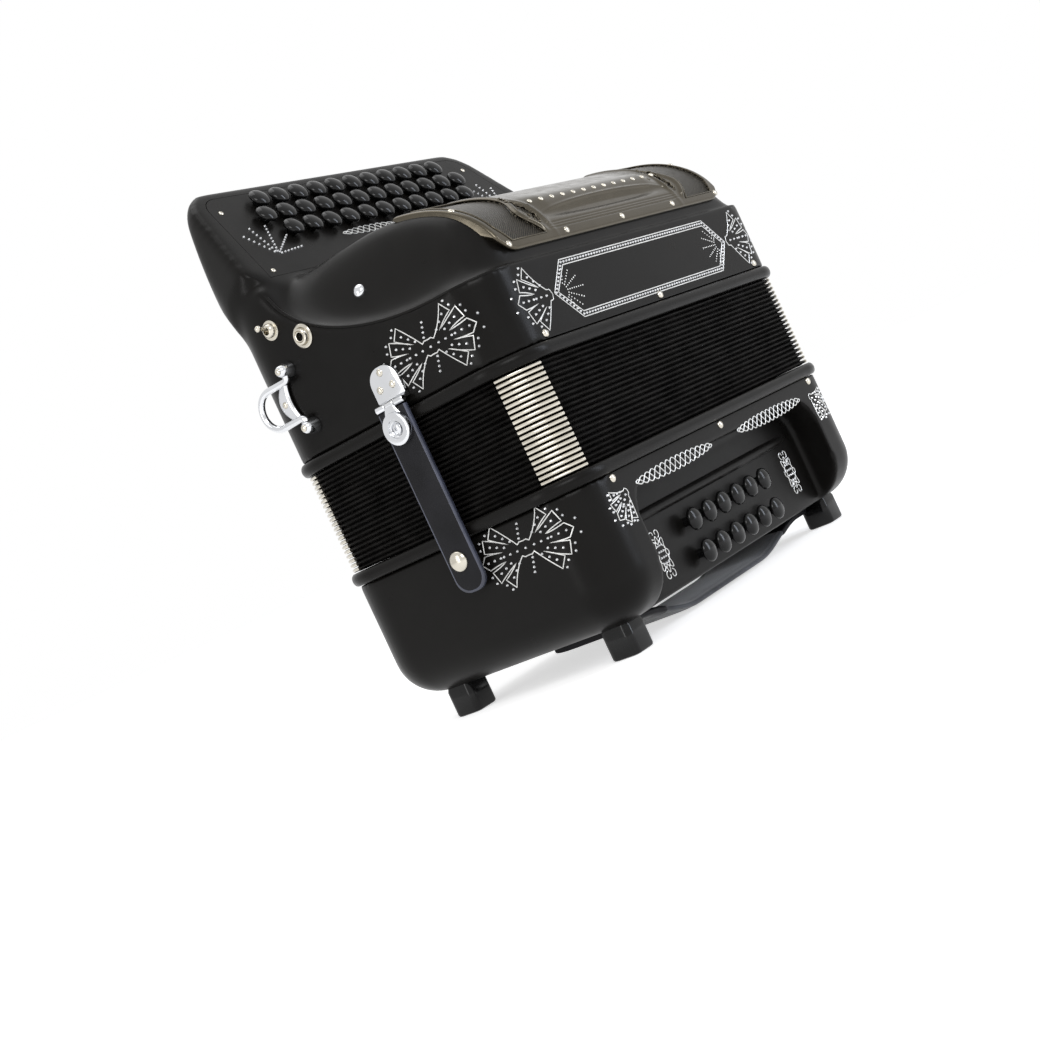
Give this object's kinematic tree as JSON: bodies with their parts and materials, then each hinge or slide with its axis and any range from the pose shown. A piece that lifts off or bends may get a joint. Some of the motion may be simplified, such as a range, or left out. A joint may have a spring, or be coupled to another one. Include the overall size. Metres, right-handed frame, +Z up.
{
  "type": "button accordion",
  "caption": "Three-row diatonic button accordion with slanted keyboard, curved grille, folded bellows, bass buttons, hand strap and strap loop.",
  "frame": {"origin": "on the floor under the middle of the whole object's box", "axes": "+Z up from the bass end on its feet to the treble end, the way the bellows open; -Y the decorated front; X along the case, with the strap bracket, bellows strap and switch on the -X end"},
  "size_m": [0.3448, 0.2042, 0.3618],
  "materials": {
    "case": "satin near-black celluloid covering",
    "plate": "satin near-black",
    "grille": "semi-gloss smoked chrome",
    "buttons": "high gloss black",
    "bellows": "matt black folded card and cloth with nickel corner clips",
    "frame": "gloss black",
    "metal": "bright nickel and chrome",
    "leather": "black grained leather",
    "velvet": "grey velvet",
    "wood": "plain reed wood"
  },
  "bodies": {
    "bass_side": {"bass_casing": "case", "bass_bellows_frame": "frame", "bellows": "bellows", "hand_strap": "velvet"},
    "treble_side": {"treble_casing": "case", "keyboard_plate": "plate", "treble_grille": "grille", "treble_reed_block": "wood", "treble_bellows_frame": "frame", "strap_bracket": "metal", "bellows_strap_plate": "metal"},
    "treble_button_1_01": {"treble_button_1_01": "buttons"},
    "treble_button_1_02": {"treble_button_1_02": "buttons"},
    "treble_button_1_03": {"treble_button_1_03": "buttons"},
    "treble_button_1_04": {"treble_button_1_04": "buttons"},
    "treble_button_1_05": {"treble_button_1_05": "buttons"},
    "treble_button_1_06": {"treble_button_1_06": "buttons"},
    "treble_button_1_07": {"treble_button_1_07": "buttons"},
    "treble_button_1_08": {"treble_button_1_08": "buttons"},
    "treble_button_1_09": {"treble_button_1_09": "buttons"},
    "treble_button_1_10": {"treble_button_1_10": "buttons"},
    "treble_button_1_11": {"treble_button_1_11": "buttons"},
    "treble_button_2_01": {"treble_button_2_01": "buttons"},
    "treble_button_2_02": {"treble_button_2_02": "buttons"},
    "treble_button_2_03": {"treble_button_2_03": "buttons"},
    "treble_button_2_04": {"treble_button_2_04": "buttons"},
    "treble_button_2_05": {"treble_button_2_05": "buttons"},
    "treble_button_2_06": {"treble_button_2_06": "buttons"},
    "treble_button_2_07": {"treble_button_2_07": "buttons"},
    "treble_button_2_08": {"treble_button_2_08": "buttons"},
    "treble_button_2_09": {"treble_button_2_09": "buttons"},
    "treble_button_2_10": {"treble_button_2_10": "buttons"},
    "treble_button_2_11": {"treble_button_2_11": "buttons"},
    "treble_button_2_12": {"treble_button_2_12": "buttons"},
    "treble_button_3_01": {"treble_button_3_01": "buttons"},
    "treble_button_3_02": {"treble_button_3_02": "buttons"},
    "treble_button_3_03": {"treble_button_3_03": "buttons"},
    "treble_button_3_04": {"treble_button_3_04": "buttons"},
    "treble_button_3_05": {"treble_button_3_05": "buttons"},
    "treble_button_3_06": {"treble_button_3_06": "buttons"},
    "treble_button_3_07": {"treble_button_3_07": "buttons"},
    "treble_button_3_08": {"treble_button_3_08": "buttons"},
    "treble_button_3_09": {"treble_button_3_09": "buttons"},
    "treble_button_3_10": {"treble_button_3_10": "buttons"},
    "treble_button_3_11": {"treble_button_3_11": "buttons"},
    "bass_button_1_1": {"bass_button_1_1": "buttons"},
    "bass_button_1_2": {"bass_button_1_2": "buttons"},
    "bass_button_1_3": {"bass_button_1_3": "buttons"},
    "bass_button_1_4": {"bass_button_1_4": "buttons"},
    "bass_button_1_5": {"bass_button_1_5": "buttons"},
    "bass_button_1_6": {"bass_button_1_6": "buttons"},
    "bass_button_2_1": {"bass_button_2_1": "buttons"},
    "bass_button_2_2": {"bass_button_2_2": "buttons"},
    "bass_button_2_3": {"bass_button_2_3": "buttons"},
    "bass_button_2_4": {"bass_button_2_4": "buttons"},
    "bass_button_2_5": {"bass_button_2_5": "buttons"},
    "bass_button_2_6": {"bass_button_2_6": "buttons"},
    "strap_loop": {"strap_loop": "metal"},
    "bellows_strap": {"bellows_strap": "leather"},
    "toggle_switch": {"toggle_switch": "metal"}
  },
  "joints": [
    {"name": "bellows_open", "type": "slide", "parent": "bass_side", "child": "treble_side", "axis": [0, 0, 1], "range_m": [0, 0.25], "deforming": ["bellows"]},
    {"name": "treble_button_1_01_press", "type": "slide", "parent": "treble_side", "child": "treble_button_1_01", "axis": [0, 0.8578, -0.514], "range_m": [0, 0.003], "stiffness_N_per_m": 150, "springref_m": -0.002},
    {"name": "treble_button_1_02_press", "type": "slide", "parent": "treble_side", "child": "treble_button_1_02", "axis": [0, 0.8578, -0.514], "range_m": [0, 0.003], "stiffness_N_per_m": 150, "springref_m": -0.002},
    {"name": "treble_button_1_03_press", "type": "slide", "parent": "treble_side", "child": "treble_button_1_03", "axis": [0, 0.8578, -0.514], "range_m": [0, 0.003], "stiffness_N_per_m": 150, "springref_m": -0.002},
    {"name": "treble_button_1_04_press", "type": "slide", "parent": "treble_side", "child": "treble_button_1_04", "axis": [0, 0.8578, -0.514], "range_m": [0, 0.003], "stiffness_N_per_m": 150, "springref_m": -0.002},
    {"name": "treble_button_1_05_press", "type": "slide", "parent": "treble_side", "child": "treble_button_1_05", "axis": [0, 0.8578, -0.514], "range_m": [0, 0.003], "stiffness_N_per_m": 150, "springref_m": -0.002},
    {"name": "treble_button_1_06_press", "type": "slide", "parent": "treble_side", "child": "treble_button_1_06", "axis": [0, 0.8578, -0.514], "range_m": [0, 0.003], "stiffness_N_per_m": 150, "springref_m": -0.002},
    {"name": "treble_button_1_07_press", "type": "slide", "parent": "treble_side", "child": "treble_button_1_07", "axis": [0, 0.8578, -0.514], "range_m": [0, 0.003], "stiffness_N_per_m": 150, "springref_m": -0.002},
    {"name": "treble_button_1_08_press", "type": "slide", "parent": "treble_side", "child": "treble_button_1_08", "axis": [0, 0.8578, -0.514], "range_m": [0, 0.003], "stiffness_N_per_m": 150, "springref_m": -0.002},
    {"name": "treble_button_1_09_press", "type": "slide", "parent": "treble_side", "child": "treble_button_1_09", "axis": [0, 0.8578, -0.514], "range_m": [0, 0.003], "stiffness_N_per_m": 150, "springref_m": -0.002},
    {"name": "treble_button_1_10_press", "type": "slide", "parent": "treble_side", "child": "treble_button_1_10", "axis": [0, 0.8578, -0.514], "range_m": [0, 0.003], "stiffness_N_per_m": 150, "springref_m": -0.002},
    {"name": "treble_button_1_11_press", "type": "slide", "parent": "treble_side", "child": "treble_button_1_11", "axis": [0, 0.8578, -0.514], "range_m": [0, 0.003], "stiffness_N_per_m": 150, "springref_m": -0.002},
    {"name": "treble_button_2_01_press", "type": "slide", "parent": "treble_side", "child": "treble_button_2_01", "axis": [0, 0.8578, -0.514], "range_m": [0, 0.003], "stiffness_N_per_m": 150, "springref_m": -0.002},
    {"name": "treble_button_2_02_press", "type": "slide", "parent": "treble_side", "child": "treble_button_2_02", "axis": [0, 0.8578, -0.514], "range_m": [0, 0.003], "stiffness_N_per_m": 150, "springref_m": -0.002},
    {"name": "treble_button_2_03_press", "type": "slide", "parent": "treble_side", "child": "treble_button_2_03", "axis": [0, 0.8578, -0.514], "range_m": [0, 0.003], "stiffness_N_per_m": 150, "springref_m": -0.002},
    {"name": "treble_button_2_04_press", "type": "slide", "parent": "treble_side", "child": "treble_button_2_04", "axis": [0, 0.8578, -0.514], "range_m": [0, 0.003], "stiffness_N_per_m": 150, "springref_m": -0.002},
    {"name": "treble_button_2_05_press", "type": "slide", "parent": "treble_side", "child": "treble_button_2_05", "axis": [0, 0.8578, -0.514], "range_m": [0, 0.003], "stiffness_N_per_m": 150, "springref_m": -0.002},
    {"name": "treble_button_2_06_press", "type": "slide", "parent": "treble_side", "child": "treble_button_2_06", "axis": [0, 0.8578, -0.514], "range_m": [0, 0.003], "stiffness_N_per_m": 150, "springref_m": -0.002},
    {"name": "treble_button_2_07_press", "type": "slide", "parent": "treble_side", "child": "treble_button_2_07", "axis": [0, 0.8578, -0.514], "range_m": [0, 0.003], "stiffness_N_per_m": 150, "springref_m": -0.002},
    {"name": "treble_button_2_08_press", "type": "slide", "parent": "treble_side", "child": "treble_button_2_08", "axis": [0, 0.8578, -0.514], "range_m": [0, 0.003], "stiffness_N_per_m": 150, "springref_m": -0.002},
    {"name": "treble_button_2_09_press", "type": "slide", "parent": "treble_side", "child": "treble_button_2_09", "axis": [0, 0.8578, -0.514], "range_m": [0, 0.003], "stiffness_N_per_m": 150, "springref_m": -0.002},
    {"name": "treble_button_2_10_press", "type": "slide", "parent": "treble_side", "child": "treble_button_2_10", "axis": [0, 0.8578, -0.514], "range_m": [0, 0.003], "stiffness_N_per_m": 150, "springref_m": -0.002},
    {"name": "treble_button_2_11_press", "type": "slide", "parent": "treble_side", "child": "treble_button_2_11", "axis": [0, 0.8578, -0.514], "range_m": [0, 0.003], "stiffness_N_per_m": 150, "springref_m": -0.002},
    {"name": "treble_button_2_12_press", "type": "slide", "parent": "treble_side", "child": "treble_button_2_12", "axis": [0, 0.8578, -0.514], "range_m": [0, 0.003], "stiffness_N_per_m": 150, "springref_m": -0.002},
    {"name": "treble_button_3_01_press", "type": "slide", "parent": "treble_side", "child": "treble_button_3_01", "axis": [0, 0.8578, -0.514], "range_m": [0, 0.003], "stiffness_N_per_m": 150, "springref_m": -0.002},
    {"name": "treble_button_3_02_press", "type": "slide", "parent": "treble_side", "child": "treble_button_3_02", "axis": [0, 0.8578, -0.514], "range_m": [0, 0.003], "stiffness_N_per_m": 150, "springref_m": -0.002},
    {"name": "treble_button_3_03_press", "type": "slide", "parent": "treble_side", "child": "treble_button_3_03", "axis": [0, 0.8578, -0.514], "range_m": [0, 0.003], "stiffness_N_per_m": 150, "springref_m": -0.002},
    {"name": "treble_button_3_04_press", "type": "slide", "parent": "treble_side", "child": "treble_button_3_04", "axis": [0, 0.8578, -0.514], "range_m": [0, 0.003], "stiffness_N_per_m": 150, "springref_m": -0.002},
    {"name": "treble_button_3_05_press", "type": "slide", "parent": "treble_side", "child": "treble_button_3_05", "axis": [0, 0.8578, -0.514], "range_m": [0, 0.003], "stiffness_N_per_m": 150, "springref_m": -0.002},
    {"name": "treble_button_3_06_press", "type": "slide", "parent": "treble_side", "child": "treble_button_3_06", "axis": [0, 0.8578, -0.514], "range_m": [0, 0.003], "stiffness_N_per_m": 150, "springref_m": -0.002},
    {"name": "treble_button_3_07_press", "type": "slide", "parent": "treble_side", "child": "treble_button_3_07", "axis": [0, 0.8578, -0.514], "range_m": [0, 0.003], "stiffness_N_per_m": 150, "springref_m": -0.002},
    {"name": "treble_button_3_08_press", "type": "slide", "parent": "treble_side", "child": "treble_button_3_08", "axis": [0, 0.8578, -0.514], "range_m": [0, 0.003], "stiffness_N_per_m": 150, "springref_m": -0.002},
    {"name": "treble_button_3_09_press", "type": "slide", "parent": "treble_side", "child": "treble_button_3_09", "axis": [0, 0.8578, -0.514], "range_m": [0, 0.003], "stiffness_N_per_m": 150, "springref_m": -0.002},
    {"name": "treble_button_3_10_press", "type": "slide", "parent": "treble_side", "child": "treble_button_3_10", "axis": [0, 0.8578, -0.514], "range_m": [0, 0.003], "stiffness_N_per_m": 150, "springref_m": -0.002},
    {"name": "treble_button_3_11_press", "type": "slide", "parent": "treble_side", "child": "treble_button_3_11", "axis": [0, 0.8578, -0.514], "range_m": [0, 0.003], "stiffness_N_per_m": 150, "springref_m": -0.002},
    {"name": "bass_button_1_1_press", "type": "slide", "parent": "bass_side", "child": "bass_button_1_1", "axis": [0, 1, 0], "range_m": [0, 0.003], "stiffness_N_per_m": 150, "springref_m": -0.002},
    {"name": "bass_button_1_2_press", "type": "slide", "parent": "bass_side", "child": "bass_button_1_2", "axis": [0, 1, 0], "range_m": [0, 0.003], "stiffness_N_per_m": 150, "springref_m": -0.002},
    {"name": "bass_button_1_3_press", "type": "slide", "parent": "bass_side", "child": "bass_button_1_3", "axis": [0, 1, 0], "range_m": [0, 0.003], "stiffness_N_per_m": 150, "springref_m": -0.002},
    {"name": "bass_button_1_4_press", "type": "slide", "parent": "bass_side", "child": "bass_button_1_4", "axis": [0, 1, 0], "range_m": [0, 0.003], "stiffness_N_per_m": 150, "springref_m": -0.002},
    {"name": "bass_button_1_5_press", "type": "slide", "parent": "bass_side", "child": "bass_button_1_5", "axis": [0, 1, 0], "range_m": [0, 0.003], "stiffness_N_per_m": 150, "springref_m": -0.002},
    {"name": "bass_button_1_6_press", "type": "slide", "parent": "bass_side", "child": "bass_button_1_6", "axis": [0, 1, 0], "range_m": [0, 0.003], "stiffness_N_per_m": 150, "springref_m": -0.002},
    {"name": "bass_button_2_1_press", "type": "slide", "parent": "bass_side", "child": "bass_button_2_1", "axis": [0, 1, 0], "range_m": [0, 0.003], "stiffness_N_per_m": 150, "springref_m": -0.002},
    {"name": "bass_button_2_2_press", "type": "slide", "parent": "bass_side", "child": "bass_button_2_2", "axis": [0, 1, 0], "range_m": [0, 0.003], "stiffness_N_per_m": 150, "springref_m": -0.002},
    {"name": "bass_button_2_3_press", "type": "slide", "parent": "bass_side", "child": "bass_button_2_3", "axis": [0, 1, 0], "range_m": [0, 0.003], "stiffness_N_per_m": 150, "springref_m": -0.002},
    {"name": "bass_button_2_4_press", "type": "slide", "parent": "bass_side", "child": "bass_button_2_4", "axis": [0, 1, 0], "range_m": [0, 0.003], "stiffness_N_per_m": 150, "springref_m": -0.002},
    {"name": "bass_button_2_5_press", "type": "slide", "parent": "bass_side", "child": "bass_button_2_5", "axis": [0, 1, 0], "range_m": [0, 0.003], "stiffness_N_per_m": 150, "springref_m": -0.002},
    {"name": "bass_button_2_6_press", "type": "slide", "parent": "bass_side", "child": "bass_button_2_6", "axis": [0, 1, 0], "range_m": [0, 0.003], "stiffness_N_per_m": 150, "springref_m": -0.002},
    {"name": "strap_loop_swing", "type": "hinge", "parent": "treble_side", "child": "strap_loop", "pos_m": [-0.16613, 0.054, 0.2137], "axis": [0, 0, 1], "range_deg": [0, 170]},
    {"name": "bellows_strap_lift", "type": "hinge", "parent": "treble_side", "child": "bellows_strap", "pos_m": [-0.16733, -0.0105, 0.1842], "axis": [0, 1, 0], "range_deg": [0, 125]},
    {"name": "switch_tip", "type": "hinge", "parent": "treble_side", "child": "toggle_switch", "pos_m": [-0.16083, 0.054, 0.2567], "axis": [0, 1, 0], "range_deg": [-32, 0]}
  ]
}
